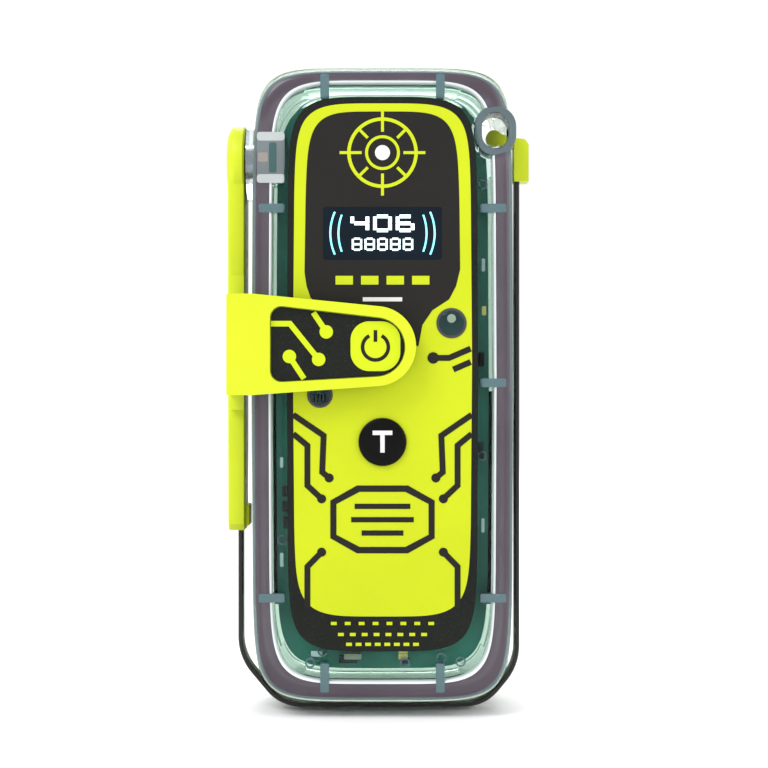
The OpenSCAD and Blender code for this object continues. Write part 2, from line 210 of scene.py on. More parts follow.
def bevel(obj, width, segments=3, angle=0.6):
    m = obj.modifiers.new("bevel", "BEVEL")
    m.width, m.segments, m.limit_method, m.angle_limit = width * MM, segments, "ANGLE", angle
    apply_modifiers(obj)
    shade(obj, 0.5)
    return obj


def loop_at_y(bm, points, y):
    return [bm.verts.new((x * MM, y * MM, z * MM)) for x, z in points]


def loop_at_x(bm, points, x):
    return [bm.verts.new((x * MM, y * MM, z * MM)) for y, z in points]


def add_skin(bm, loops, material_of=lambda k: 0):
    """A closed skin through loops of vertices, with flat ends."""
    bm.faces.new(loops[0])
    bm.faces.new(loops[-1][::-1])
    for k, (a, b) in enumerate(zip(loops, loops[1:])):
        for i in range(len(a)):
            j = (i + 1) % len(a)
            bm.faces.new((a[j], a[i], b[i], b[j])).material_index = material_of(k)


def add_prism(bm, points, y0, y1):
    """A closed slab between two depths, from an outline in the XZ plane."""
    add_skin(bm, [loop_at_y(bm, points, y0), loop_at_y(bm, points, y1)])


def add_line(bm, points, width, y0, y1):
    """A printed line as one strip with mitred corners."""
    normals = []
    for (x0, z0), (x1, z1) in zip(points, points[1:]):
        length = hypot(x1 - x0, z1 - z0)
        normals.append(((z0 - z1) / length, (x1 - x0) / length))
    left, right = [], []
    for (x, z), a, b in zip(points, normals[:1] + normals, normals + normals[-1:]):
        k = width / 2 / (1 + a[0] * b[0] + a[1] * b[1])
        left.append((x + (a[0] + b[0]) * k, z + (a[1] + b[1]) * k))
        right.append((x - (a[0] + b[0]) * k, z - (a[1] + b[1]) * k))
    add_prism(bm, left + right[::-1], y0, y1)


def add_ring(bm, outer, inner, y0, y1):
    """A closed band between two outlines with the same number of points."""
    loops = [loop_at_y(bm, points, y)
             for points, y in ((outer, y0), (inner, y0), (inner, y1), (outer, y1))]
    for a, b in zip(loops, loops[1:] + loops[:1]):
        for i in range(len(outer)):
            j = (i + 1) % len(outer)
            bm.faces.new((a[i], a[j], b[j], b[i]))


def prism(name, points, y0, y1, material, smooth=0.6):
    return new_object(name, lambda bm: add_prism(bm, points, y0, y1), material, smooth)


def box_piece(name, x, y, z, material):
    return prism(name, [(x[0], z[0]), (x[1], z[0]), (x[1], z[1]), (x[0], z[1])],
                 y[0], y[1], material, None)


def cylinder_x(name, y, z, r, x0, x1, material, count=64):
    return new_object(name, lambda bm: add_skin(
        bm, [loop_at_x(bm, circle((y, z), r, count), x) for x in (x0, x1)]), material, 0.6)


def loft(name, rings, materials, material_of=lambda k: 0):
    """A closed skin through case outlines at given depths."""
    return new_object(name, lambda bm: add_skin(
        bm, [loop_at_y(bm, outline(spec), y) for spec, y in rings], material_of), materials, 0.7)


def place(obj, body, slot, *replaced):
    """Put a piece on its body, in place of the nodes it replaces. The slot argument is not used."""
    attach(obj, body)
    if replaced:
        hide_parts(*replaced)
    return obj


# ---------------------------------------------------------------- materials
DRIFT_SCALE, GLOSS_SCALE, FLECK_SCALE = 60, 240, 2600
GRAIN_DEPTH = 0.00004


def material(name, color, rough=0.4, spread=0.08, grain=900, bump=0.1, fleck=None, glow=None,
             **sockets):
    """Moulded or printed surface: a little colour drift, uneven gloss and fine grain."""
    m = bpy.data.materials.new(name)
    m.use_nodes = True
    nodes, links = m.node_tree.nodes, m.node_tree.links
    shader = nodes["Principled BSDF"]
    coordinates = nodes.new("ShaderNodeTexCoord")

    def noise(scale, detail):
        n = nodes.new("ShaderNodeTexNoise")
        n.inputs["Scale"].default_value = scale
        n.inputs["Detail"].default_value = detail
        links.new(coordinates.outputs["Object"], n.inputs["Vector"])
        return n.outputs["Fac"]

    ramp = nodes.new("ShaderNodeValToRGB")
    low, high = ramp.color_ramp.elements
    low.position, high.position = 0.35, 0.7
    low.color = (*[c * (1 - spread) for c in color], 1)
    high.color = (*[min(1, c * (1 + spread)) for c in color], 1)
    links.new(noise(DRIFT_SCALE, 3), ramp.inputs["Fac"])
    shown = ramp.outputs["Color"]
    if fleck:
        flecks = nodes.new("ShaderNodeTexVoronoi")
        flecks.inputs["Scale"].default_value = FLECK_SCALE
        links.new(coordinates.outputs["Object"], flecks.inputs["Vector"])
        spot = nodes.new("ShaderNodeMapRange")
        spot.inputs["From Min"].default_value = 0.22
        spot.inputs["From Max"].default_value = 0.12
        links.new(flecks.outputs["Distance"], spot.inputs["Value"])
        mix = nodes.new("ShaderNodeMix")
        mix.data_type = "RGBA"
        mix.inputs["B"].default_value = (*fleck, 1)
        links.new(spot.outputs["Result"], mix.inputs["Factor"])
        links.new(shown, mix.inputs["A"])
        shown = mix.outputs["Result"]
    links.new(shown, shader.inputs["Base Color"])
    uneven = nodes.new("ShaderNodeMapRange")
    uneven.inputs["To Min"].default_value = max(0, rough - 0.06)
    uneven.inputs["To Max"].default_value = min(1, rough + 0.08)
    links.new(noise(GLOSS_SCALE, 4), uneven.inputs["Value"])
    links.new(uneven.outputs["Result"], shader.inputs["Roughness"])
    relief = nodes.new("ShaderNodeBump")
    relief.inputs["Strength"].default_value = bump
    relief.inputs["Distance"].default_value = GRAIN_DEPTH
    links.new(noise(grain, 2), relief.inputs["Height"])
    links.new(relief.outputs["Normal"], shader.inputs["Normal"])
    if glow:
        shader.inputs["Emission Color"].default_value = (*color, 1)
        shader.inputs["Emission Strength"].default_value = glow
    for socket, value in sockets.items():
        shader.inputs[socket.replace("_", " ")].default_value = value
    return m


NEON = material("neon_yellow", (0.53, 0.625, 0.009), 0.38, 0.03, 1500, 0.08,
                Specular_IOR_Level=0.3)
PRINT_YELLOW = material("printed_yellow", (0.455, 0.53, 0.006), 0.5, 0.03, 3000, 0.25,
                        Specular_IOR_Level=0.2)
PRINT_BRIGHT = material("printed_lime", (0.49, 0.59, 0.006), 0.45, 0.03, 3000, 0.2,
                        Specular_IOR_Level=0.2)
PRINT_DARK = material("printed_charcoal", (0.0085, 0.0076, 0.0062), 0.55, 0.1, 3000, 0.3,
                      Specular_IOR_Level=0.2)
BEZEL = material("speckled_black", (0.0065, 0.0078, 0.006), 0.42, 0.2, 2500, 0.4,
                 fleck=(0.03, 0.034, 0.028), Specular_IOR_Level=0.15)
WHITE = material("printed_white", (0.62, 0.62, 0.62), 0.5, 0.02)
BLACK = material("black_moulding", (0.003, 0.003, 0.003), 0.3, 0.2, 1800, 0.15,
                 Specular_IOR_Level=0.08)
BLADE = material("blade_sleeve", (0.006, 0.006, 0.006), 0.42, 0.3, 700, 0.3,
                 Specular_IOR_Level=0.4)
CLEAR = material("clear_shell", (0.64, 0.80, 0.77), 0.05, 0.02, 200, 0.03,
                 Transmission_Weight=1.0, IOR=1.18)
RIM_CORE = material("rim_core", (0.08, 0.06, 0.082), 0.22, 0.12, 120, 0.03,
                    Transmission_Weight=0.3, IOR=1.4)
RIM_OUTER = material("rim_outer", (0.12, 0.17, 0.185), 0.22, 0.08, 120, 0.03,
                     Transmission_Weight=0.4, IOR=1.4)
# Painted highlight: a whitish colour on the rim's inner edge stands in for light caught on that fillet
RIM_PAINTED_HIGHLIGHT = material("rim_painted_highlight", (0.66, 0.71, 0.72), 0.15, 0.05, 120, 0.03)
RIB = material("rim_rib", (0.09, 0.17, 0.19), 0.25, 0.08, 200, 0.05, Transmission_Weight=0.3)
TUNNEL = material("hinge_tunnel", (0.17, 0.2, 0.21), 0.12, 0.4, 160, 0.05,
                  Transmission_Weight=0.3)
# Painted highlight: the clear tunnel's upper and lower walls are coloured bright for the light they catch
TUNNEL_EDGE_HIGHLIGHT = material("tunnel_edge", (0.36, 0.39, 0.39), 0.2, 0.2, 200, 0.05)
TUNNEL_PIN = material("tunnel_pin", (0.22, 0.2, 0.18), 0.2, 0.3, 300, 0.05)
REAR = material("rear_shell", (0.66, 0.76, 0.66), 0.14, 0.04, 300, 0.04,
                Transmission_Weight=0.9, IOR=1.25)
LENS = material("lens", (0.5, 0.62, 0.63), 0.04, 0.02, 200, 0.02,
                Transmission_Weight=1.0, IOR=1.2)
BOSS = material("hinge_clear", (0.6, 0.66, 0.68), 0.06, 0.02, 200, 0.02,
                Transmission_Weight=0.9, IOR=1.35)
WELL = material("lamp_well", (0.03, 0.075, 0.075), 0.2, 0.2)
LAMP = material("lamp", (0.55, 0.6, 0.45), 0.3, 0.2)
GASKET = material("gasket", (0.27, 0.21, 0.28), 0.5, 0.08, 600, 0.2)
STEEL = material("steel", (0.62, 0.63, 0.65), 0.25, 0.05, 1200, 0.2, Metallic=1.0)
GOLD = material("gold", (0.83, 0.6, 0.22), 0.28, 0.08, 1200, 0.2, Metallic=1.0)
TIN = material("tin", (0.66, 0.67, 0.7), 0.35, 0.05, 500, 0.3, Metallic=1.0)
BOARD = material("board", (0.035, 0.26, 0.19), 0.4, 0.25, 900, 0.3,
                 fleck=(0.05, 0.3, 0.2))
CHIP = material("chip", (0.03, 0.03, 0.033), 0.5, 0.2, 1800, 0.4)
CERAMIC = material("ceramic", (0.62, 0.56, 0.44), 0.35, 0.05, 900, 0.2)
CELL = material("cell_sleeve", (0.05, 0.09, 0.16), 0.3, 0.15, 500, 0.1)
DISPLAY = material("display_glass", (0.0015, 0.006, 0.012), 0.12, 0.2, 300, 0.02,
                   Specular_IOR_Level=0.15)
CYAN = material("display_cyan", (0.18, 0.75, 0.88), 0.4, 0.02, glow=1.2)
PALE = material("display_white", (0.75, 0.92, 0.95), 0.4, 0.02, glow=1.0)

SLOT_MATERIALS = {
    "clear_shell": CLEAR, "clear_boss": BOSS, "gasket": GASKET, "steel": STEEL,
    "label": PRINT_YELLOW, "window": DISPLAY, "display": DISPLAY, "lens": LENS, "led": LAMP,
    "dark_led": WELL, "neon": NEON, "seal": BLACK, "black": BLACK, "board": BOARD,
    "chip": CHIP, "ceramic_patch": CERAMIC, "tin": TIN, "cell": CELL, "gold": GOLD,
    "blade": BLADE, "print": BEZEL}
for part in frame["record"]["subparts"]:
    node = frame["nodes"][part["node"]]
    node.data.materials.clear()
    node.data.materials.append(SLOT_MATERIALS[part["material_slot"]])

# ---------------------------------------------------------------- case
PANEL_CAVITY = grown(PANEL, -1.4)
front_rings = [(PANEL_CAVITY, -14.2), (PANEL_CAVITY, CAVITY_Y),
               (FRONT_CAVITY, CAVITY_Y), (FRONT_CAVITY, PART_Y - SEAM), (SKIRT, PART_Y - SEAM),
               (SKIRT, -10.8), (RIM, -11.2)]
rim_start = len(front_rings) - 3
front_rings += outer_fillet(RIM, RIM_Y, 1.4)
rim_face = len(front_rings) - 1
front_rings += inner_fillet(RIM_INSIDE, RIM_Y, 0.7)
rim_end = len(front_rings)


def rim_band(k):
    """The rim's outer side is grey-blue, its face mauve, and its inner edge bright with a painted highlight."""
    if not rim_start <= k < rim_end:
        return 0
    return 1 if k < rim_face - 2 else 2 if k <= rim_face + 1 else 3


front_rings += [(RIM_INSIDE, GROOVE_Y - 0.2), (grown(RIM_INSIDE, -0.2), GROOVE_Y),
                (grown(PANEL, 0.2), GROOVE_Y), (PANEL, GROOVE_Y - 0.2)]
front_rings += outer_fillet(PANEL, PANEL_Y, 0.35, 3)
front = loft("front_shell_clear", front_rings, [CLEAR, RIM_OUTER, RIM_CORE, RIM_PAINTED_HIGHLIGHT],
             rim_band)

rear_rings = [(grown(REAR_CAVITY, -1), BACK_CAVITY_Y), (grown(REAR_CAVITY, -1), 10),
              (REAR_CAVITY, 9.8), (REAR_CAVITY, PART_Y + SEAM), (CHANNEL, PART_Y + SEAM),
              (CHANNEL, -2.1), (grown(FLANGE, -0.4), -2.0), (grown(FLANGE, -0.1), -1.8),
              (FLANGE, -1.3), (FLANGE, 10.2), (grown(FLANGE, -0.3), 10.9), (BACK_EDGE, 11.6),
              (BACK_EDGE, 13.6), (grown(BACK_EDGE, -0.5), 14.5), (BACK_FACE, 15.4),
              (BACK_FACE, 16.9), (grown(BACK_FACE, -0.2), 17.3),
              (grown(BACK_FACE, -0.7), BACK_Y)]
rear = loft("rear_shell_clear", rear_rings, REAR)


def shell_cutters():
    """The lanyard eye, the notch that the tip hooks into, and the hinge's bore."""
    return (prism("eye_cut", stadium(EYE, EYE_R, EYE_RISE), -BEYOND_Y, BEYOND_Y, CLEAR),
            box_piece("notch_cut", (EYE[0], 30), (-9.4, -2.6), (97.8, 103.1), CLEAR),
            cylinder_x("hinge_cut", HINGE_Y, HINGE_Z, 4.35, -30, -16.6, CLEAR))


cut(front, *shell_cutters())
shade(front, 0.7)
place(front, "case", "clear_shell", "front_shell")
recess = prism("recess_cut", circle(EYE, EYE_RECESS_R, 64), 7, BEYOND_Y, REAR)
SCREW_R, SCREW_FLOOR_Y = 2.3, 8.4
screws = [prism("screw_cut", circle((x, z), SCREW_R, 32), SCREW_FLOOR_Y, BEYOND_Y, REAR)
          for x in (-10.5, 10.5) for z in (15, 104)]
back_low, back_high = box_mm("rear_label")
SEAT_GAP = 0.15
seat = box_piece("label_seat", (back_low.x - SEAT_GAP, back_high.x + SEAT_GAP),
                 (back_low.y, BEYOND_Y), (back_low.z - SEAT_GAP, back_high.z + SEAT_GAP), REAR)
cut(rear, *shell_cutters(), recess, seat, *screws)
shade(rear, 0.7)
place(rear, "case", "clear_shell", "rear_shell")

collar = new_object("eye_collar", lambda bm: add_ring(
    bm, stadium(EYE, EYE_R + 1.35, EYE_RISE), stadium(EYE, EYE_R, EYE_RISE),
    RIM_Y - 0.02, -9.6), RIM_OUTER, 0.6)
place(bevel(collar, 0.3, 3, 1.0), "case", "clear_shell")


RIB_HALF = 0.75


def ribs(bm):
    """Short bridges across the rim's face, three on each side and two at each end."""
    def rib(x0, x1, z0, z1):
        add_prism(bm, rounded_box(x0, x1, z0, z1, 0.25, 3), RIM_Y - 0.03, GROOVE_Y - 0.1)

    for z in (20.7, 57.9, 88.1):
        rib(-21.4, -16.9, z - RIB_HALF, z + RIB_HALF)
        rib(16.9, 21.4, z - RIB_HALF, z + RIB_HALF)
    for x in (-10, 10):
        for z0, z1 in ((107.0, 111.3), (4.4, 9.4)):
            rib(x - RIB_HALF, x + RIB_HALF, z0, z1)


place(new_object("groove_ribs", ribs, RIB, 0.6), "case", "clear_shell")

TUNNEL_X0, TUNNEL_X1, TUNNEL_BACK_Y = -21.7, -16.9, -14


def tunnel_edges(bm):
    """The hinge tunnel's upper and lower walls, which cross the rim, coloured bright as a painted highlight."""
    for z in (HINGE_Z + 3.6, HINGE_Z - 3.7):
        add_prism(bm, rounded_box(TUNNEL_X0, TUNNEL_X1, z - 0.75, z + 0.75, 0.5, 4),
                  RIM_Y - 0.06, TUNNEL_BACK_Y)


def tunnel_clip(bm):
    add_prism(bm, rounded_box(-19.6, -18.3, HINGE_Z - 2.7, HINGE_Z + 2.5, 0.3, 4),
              RIM_Y - 0.06, TUNNEL_BACK_Y)


place(new_object("tunnel_edges", tunnel_edges, TUNNEL_EDGE_HIGHLIGHT, 0.6), "case", "clear_shell")
place(prism("tunnel_body",
            rounded_box(TUNNEL_X0, TUNNEL_X1, HINGE_Z - 3.4, HINGE_Z + 3.4, 0.5, 4),
            RIM_Y - 0.03, TUNNEL_BACK_Y, TUNNEL), "case", "clear_shell")
place(new_object("tunnel_clip", tunnel_clip, WELL, 0.6), "case", "clear_shell")
place(prism("tunnel_pin", rounded_box(-21.5, -19.8, HINGE_Z - 0.8, HINGE_Z + 0.8, 0.3, 4),
            RIM_Y - 0.05, TUNNEL_BACK_Y, TUNNEL_PIN), "case", "clear_shell")


def marks(bm):
    """Round ejector marks on the channel's floor."""
    for x, z in ((-10.4, 11.2), (10.2, 10.1), (13.6, 9.4), (17.4, 92.4), (-17.4, 30.6),
                 (17.3, 45.2), (-12.6, 9.2), (3.9, 9.2)):
        add_ring(bm, circle((x, z), 0.9, 32), circle((x, z), 0.62, 32), GROOVE_Y - 0.04,
                 GROOVE_Y + 0.1)


place(new_object("ejector_marks", marks, RIB), "case", "clear_shell")

# Solder pads seen through the sunk channel: middle, half width and half height
for part_name, spots, paint in (
        ("pads_cream", ((-5.2, 10.3, 1.5, 0.7),), CERAMIC),
        ("pads_gold", ((3.6, 10.4, 0.8, 0.8), (17.6, 70.5, 0.5, 0.8)), GOLD),
        ("pads_tin", ((-17.5, 27.0, 0.4, 1.2), (-17.5, 44.0, 0.4, 0.9), (17.5, 78.5, 0.4, 1.1),
                      (17.4, 33.0, 0.4, 1.2), (-11.5, 10.6, 1.0, 0.5)), TIN)):
    def pads(bm):
        for x, z, w, h in spots:
            add_prism(bm, rounded_box(x - w, x + w, z - h, z + h, 0.15, 2),
                      CAVITY_Y + 0.05, CAVITY_Y + 0.6)
    place(new_object(part_name, pads, paint), "case", "chip")

# ---------------------------------------------------------------- rear label
rear_middle = (back_low.z + back_high.z) / 2
place(prism("rear_label_sheet",
            rounded_box(back_low.x, back_high.x, back_low.z, back_high.z, 1.2),
            back_low.y + 0.01, back_high.y - 0.06, PRINT_YELLOW), "case", "label", "rear_label")


def rear_print(bm):
    """Plain bars and panels in place of printed instructions."""
    y0, y1 = back_high.y - 0.03, back_high.y - 0.08
    add_prism(bm, rounded_box(-11.8, 11.8, rear_middle + 22.5, rear_middle + 31.5, 1, 4), y0, y1)
    for row in range(3):
        z = rear_middle + 16.5 - 11.5 * row
        add_ring(bm, rounded_box(-11.6, -3.4, z - 4.2, z + 4.2, 0.8, 4),
                 rounded_box(-11.2, -3.8, z - 3.8, z + 3.8, 0.5, 4), y0, y1)
        add_prism(bm, circle((-7.5, z), 1.2 + 0.5 * row, 32), y0, y1)
        for k, reach in enumerate((11.4, 9.6, 10.6)):
            add_line(bm, [(-1.6, z + 2.6 - 2.6 * k), (reach, z + 2.6 - 2.6 * k)], 0.8, y0, y1)
    for k in range(14):
        x = -10.4 + 1.6 * k
        thickness = 0.35 + 0.3 * (k * 5 % 3)
        add_line(bm, [(x, rear_middle - 30), (x, rear_middle - 21.5)], thickness, y0, y1)


place(new_object("rear_label_print", rear_print, PRINT_DARK), "case", "label")

# ---------------------------------------------------------------- front label
LAYER = 0.03
LABEL_THICKNESS = 0.35
y_bezel = LABEL_Y + 3 * LAYER
y_yellow, y_dark, y_line = (y_bezel - LAYER * k for k in (1, 2, 3))
place(prism("label_bezel", outline(LABEL), y_bezel, LABEL_Y + LABEL_THICKNESS, BEZEL),
      "case", "label", "front_label")

field_spec = (15.45, 44.25, 61.85 - MID_Z, 4.4, 14)
place(prism("label_field", outline(field_spec, bow=0.035), y_yellow, y_bezel, PRINT_YELLOW),
      "case", "label")

dark_spec = (13.55, 43.0, 61.7 - MID_Z, 4.6, 14)
DARK_FOOT_Z = 79
upper = [p for p in outline(dark_spec, bow=0.05) if p[1] > DARK_FOOT_Z]
dark = upper + [(-13.45, 77), (-13.1, 74.6), (-12.4, 72.6), (-9, 69.5), (6.2, 64.2), (6.9, 67.9),
                (8.6, 70.4), (11.5, 72.3), (12.7, 74.6), (13.4, 77.5)]
place(prism("label_panel", dark, y_dark, y_yellow, PRINT_DARK), "case", "label")

DOT_R = 0.78
TRACE_WIDTH = 1.02
left_traces = [[(-15.4, 52.4), (-10.15, 48.8), (-10.4, 42.5), (-9.2, 41.5)],
               [(-15.4, 49.1), (-12.95, 47.1), (-12.95, 40.2), (-10.5, 37.9)],
               [(-12.95, 19.0), (-12.95, 26.2), (-10.5, 28.7)]]
right_traces = [[(15.2, 63.8), (11.5, 62.2), (8.75, 62.2)], [(15.2, 61.5), (12.2, 60.2)]]


def octagon(half_x, z0, z1, along, up):
    """A box with its corners cut off by so much along and up."""
    return [(half_x - along, z1), (along - half_x, z1), (-half_x, z1 - up), (-half_x, z0 + up),
            (along - half_x, z0), (half_x - along, z0), (half_x, z0 + up), (half_x, z1 - up)]


def traces(bm):
    for path in left_traces:
        for side in (1, -1):
            mirrored = [(side * x, z) for x, z in path]
            add_line(bm, mirrored, TRACE_WIDTH, y_line, y_yellow)
            add_prism(bm, circle(mirrored[-1], DOT_R, 24), y_line - 0.01, y_yellow)
    for path in right_traces:
        add_line(bm, path, TRACE_WIDTH, y_line, y_yellow)
    add_prism(bm, circle(right_traces[0][-1], 1.0, 24), y_line - 0.01, y_yellow)
    add_ring(bm, octagon(9.0, 28.5, 40.2, 4.6, 2.6), octagon(7.95, 29.6, 39.1, 4.0, 2.1),
             y_line, y_yellow)
    for z, half in ((36.6, 4.8), (34.3, 5.4), (32.0, 3.6)):
        add_line(bm, [(-half, z), (half, z)], 0.9, y_line, y_yellow)


place(new_object("label_traces", traces, PRINT_DARK), "case", "label")


EMBLEM = (0, 97.6)
FOOT_DASHES = 8


def emblem(bm):
    """A compass-like ring, a row of dashes, and rows of small dashes at the foot."""
    add_ring(bm, circle(EMBLEM, 6.1), circle(EMBLEM, 5.5), y_line, y_dark)
    add_ring(bm, circle(EMBLEM, 3.0), circle(EMBLEM, 2.5), y_line, y_dark)
    for k in range(8):
        a = pi / 4 * k
        reach = 5.6 if k % 2 else 7.4
        add_line(bm, [(EMBLEM[0] + r * cos(a), EMBLEM[1] + r * sin(a)) for r in (3.6, reach)],
                 0.5, y_line - 0.01, y_dark)
    for x in (-6.6, -2.2, 2.2, 6.6):
        add_line(bm, [(x - 1.5, 75.6), (x + 1.5, 75.6)], 1.5, y_line, y_dark)
    for z, half in ((16.4, 9.6), (14.5, 8.2), (12.8, 6.6)):
        for i in range(FOOT_DASHES):
            x = -half + 2 * half * (i + 0.5) / FOOT_DASHES
            add_line(bm, [(x - 0.5, z), (x + 0.5, z)], 0.55, y_line, y_bezel)


place(new_object("label_marks", emblem, PRINT_YELLOW), "case", "label")


def pale_marks(bm):
    add_line(bm, [(-3.4, 72.3), (3.4, 72.3)], 0.7, y_line, y_dark)
    add_prism(bm, circle(EMBLEM, 1.3, 32), y_line, y_dark)


place(new_object("label_pale_marks", pale_marks, WHITE), "case", "label")

# ---------------------------------------------------------------- display
win_low, win_high = box_mm("display_window")
place(prism("display_pane", rounded_box(win_low.x, win_high.x, win_low.z, win_high.z, 0.4),
            y_line - 0.02, y_yellow, DISPLAY), "case", "window", "display_window")
y_glow = y_line - 0.04
win_mid = ((win_low.x + win_high.x) / 2, (win_low.z + win_high.z) / 2)


ARC_R = 9


def arcs(bm):
    """Two arcs at each side of the number."""
    for side in (1, -1):
        for r, reach in ((9.0, 0.42), (7.6, 0.36)):
            points = [(win_mid[0] + side * (r - ARC_R + ARC_R * cos(a)),
                       win_mid[1] + ARC_R * sin(a))
                      for a in (reach * (i - 6) / 6 for i in range(13))]
            add_line(bm, points, 0.3, y_glow, y_line)


# A digit's seven segments, from corner to corner of a box two wide and two high
SEGMENTS = (((-1, 1), (1, 1)), ((-1, 0), (1, 0)), ((-1, -1), (1, -1)), ((-1, 1), (-1, 0)),
            ((1, 1), (1, 0)), ((-1, 0), (-1, -1)), ((1, 0), (1, -1)))
SEGMENT_GAP = 0.04


def digits(bm):
    """A number in segments, over a row of segment blocks."""
    rows = ((win_mid[1] + 1.7, 1.3, 1.2, 0.62, (-3.9, 0, 3.9),
             ((1, 3, 4, 6), (0, 2, 3, 4, 5, 6), (0, 1, 2, 3, 5, 6))),
            (win_mid[1] - 1.9, 0.72, 0.95, 0.34, (-4.4, -2.2, 0, 2.2, 4.4), (range(7),) * 5))
    for z, w, h, thick, places, lit in rows:
        for x, shown in zip(places, lit):
            for (xa, za), (xb, zb) in (SEGMENTS[k] for k in shown):
                trim = thick / 2 + SEGMENT_GAP
                da, db = (trim, -trim) if za == zb else (0, 0)
                ea, eb = (0, 0) if za == zb else (-SEGMENT_GAP, SEGMENT_GAP)
                add_line(bm, [(x + w * xa + da, z + h * za + ea),
                              (x + w * xb + db, z + h * zb + eb)], thick, y_glow, y_line)


place(new_object("display_arcs", arcs, CYAN), "case", "window")
place(new_object("display_digits", digits, PALE), "case", "window")

# ---------------------------------------------------------------- lamps and buttons
def lamp_window(name, node, lit, bars):
    """A lamp or a row of bars in a dark well, inside a rim and under a domed cover."""
    low, high = box_mm(node)
    at = ((low.x + high.x) / 2, (low.z + high.z) / 2)
    r = (high.x - low.x) / 2
    place(prism(name + "_well", circle(at, r - 0.35), y_line - 0.01, y_yellow, WELL),
          "case", "lens")
    rim_ring = new_object(name + "_rim", lambda bm: add_ring(
        bm, circle(at, r + 0.05), circle(at, r - 0.4), y_line - 0.06, y_yellow), CHIP, 0.6)
    place(bevel(rim_ring, 0.04, 2, 1.0), "case", "lens")

    def bits(bm):
        if lit:
            add_prism(bm, circle((at[0], at[1] + 0.8), 0.75, 32), y_line - 0.04, y_line)
        for k in range(bars):
            x = at[0] - 0.9 + 0.6 * k
            add_prism(bm, rounded_box(x - 0.14, x + 0.14, at[1] - 1.2, at[1] + 0.1, 0.1, 3),
                      y_line - 0.03, y_line)
    place(new_object(name + "_lamp", bits, LAMP if lit else TIN), "case", "led")

    def dome(bm):
        edge_r = r - 0.42
        loops = [loop_at_y(bm, circle(at, edge_r), y_line - 0.03)]
        loops += [loop_at_y(bm, circle(at, edge_r * cos(a)), y_line - 0.05 - 0.28 * sin(a))
                  for a in (pi / 2 * i / 6 for i in range(6))]
        add_skin(bm, loops)
    place(new_object(name + "_cover", dome, LENS, 0.9), "case", "lens", node)


lamp_window("strobe", "strobe_lens", True, 0)
lamp_window("infrared", "infrared_lens", False, 4)

test_low, test_high = box_mm("test_button")
test_at = ((test_low.x + test_high.x) / 2, (test_low.z + test_high.z) / 2)
test_r = (test_high.x - test_low.x) / 2


def test_cap(bm):
    profile = [(test_r, test_high.y), (test_r, test_low.y + 0.45), (test_r - 0.1, test_low.y + 0.2),
               (test_r - 0.4, test_low.y + 0.06), (test_r - 1.0, test_low.y)]
    add_skin(bm, [loop_at_y(bm, circle(test_at, r, 72), y) for r, y in profile])


place(new_object("test_cap", test_cap, BLACK, 0.5), "test_button", "black", "test_button")


def test_mark(bm):
    y = test_low.y
    add_line(bm, [(test_at[0] - 1.7, test_at[1] + 1.6), (test_at[0] + 1.7, test_at[1] + 1.6)],
             0.75, y - 0.03, y)
    add_line(bm, [(test_at[0], test_at[1] + 1.9), (test_at[0], test_at[1] - 1.8)],
             0.75, y - 0.04, y)


place(new_object("test_mark", test_mark, WHITE), "test_button", "black")

# ---------------------------------------------------------------- arm and guard
ARM_INNER_X, ARM_SHAFT_X = -24.3, -27.2
guard_low = box_mm("button_guard")[0]
sticker_low, sticker_high = box_mm("guard_label")
GUARD_BACK_Y, GUARD_WALL_Y = -17.9, -9
PLATE_X = guard_low.x
POWER = (-1.2, 64)
guard_outline = hull(circle((-1.1, 64.15), 6.82, 64)
                     + rounded_box(PLATE_X, PLATE_X + 5.3, 55.8, 73.1, 0.9))
guard = prism("guard_plate", guard_outline, guard_low.y, GUARD_BACK_Y, NEON)


def film_outline(gap):
    """The flap's printed film, narrowed all round by a gap."""
    return hull(circle(POWER, 5.1 - gap, 64) + circle((-17.2, 69), 2 - gap, 32)
                + circle((-17.2, 60), 2 - gap, 32))


cut(guard, prism("guard_window", film_outline(0), guard_low.y - 1, sticker_high.y, NEON))
cut(guard,
    box_piece("guard_wall", (PLATE_X, PLATE_X + 2.4), (guard_low.y + 0.02, GUARD_WALL_Y),
              (55.85, 73.05), NEON),
    box_piece("guard_foot", (PLATE_X, ARM_INNER_X), (HINGE_Y - 6.2, GUARD_WALL_Y),
              (53.2, 76.8), NEON),
    operation="UNION")
bevel(guard, 0.45, 4, 0.9)
place(guard, "antenna_arm", "neon", "button_guard")

place(prism("guard_sticker", film_outline(0.15), sticker_low.y, sticker_high.y, BEZEL),
      "antenna_arm", "print", "guard_label")
y_mark = sticker_low.y - 0.04


def sticker_marks(bm):
    y0, y1 = y_mark, sticker_low.y
    for path in ([(-19.05, 68.0), (-15.8, 68.0), (-10.9, 61.9)], [(-11.8, 69.9), (-9.6, 66.6)],
                 [(-13.4, 58.6), (-15.9, 62.4)]):
        add_line(bm, path, 0.95, y0, y1)
        add_prism(bm, circle(path[-1], 1.15, 32), y0 - 0.01, y1)
    add_prism(bm, rounded_box(-5.45, 3.05, 59.9, 68.4, 3.2, 16), y0 - 0.1, y1)


place(new_object("guard_marks", sticker_marks, PRINT_BRIGHT, 0.6), "antenna_arm", "print")


def power_mark(bm):
    y0, y1 = y_mark - 0.14, y_mark - 0.1
    r, gap, width = 2.2, 0.5, 0.62
    points = [(POWER[0] + r * cos(a), POWER[1] + r * sin(a))
              for a in (pi / 2 + gap + (2 * pi - 2 * gap) * i / 40 for i in range(41))]
    add_line(bm, points, width, y0, y1)
    add_line(bm, [(POWER[0], POWER[1] + 0.9), (POWER[0], POWER[1] + 2.9)], width, y0, y1)


place(new_object("power_mark", power_mark, PRINT_DARK), "antenna_arm", "print")

arm_low, arm_high = box_mm("antenna_arm")


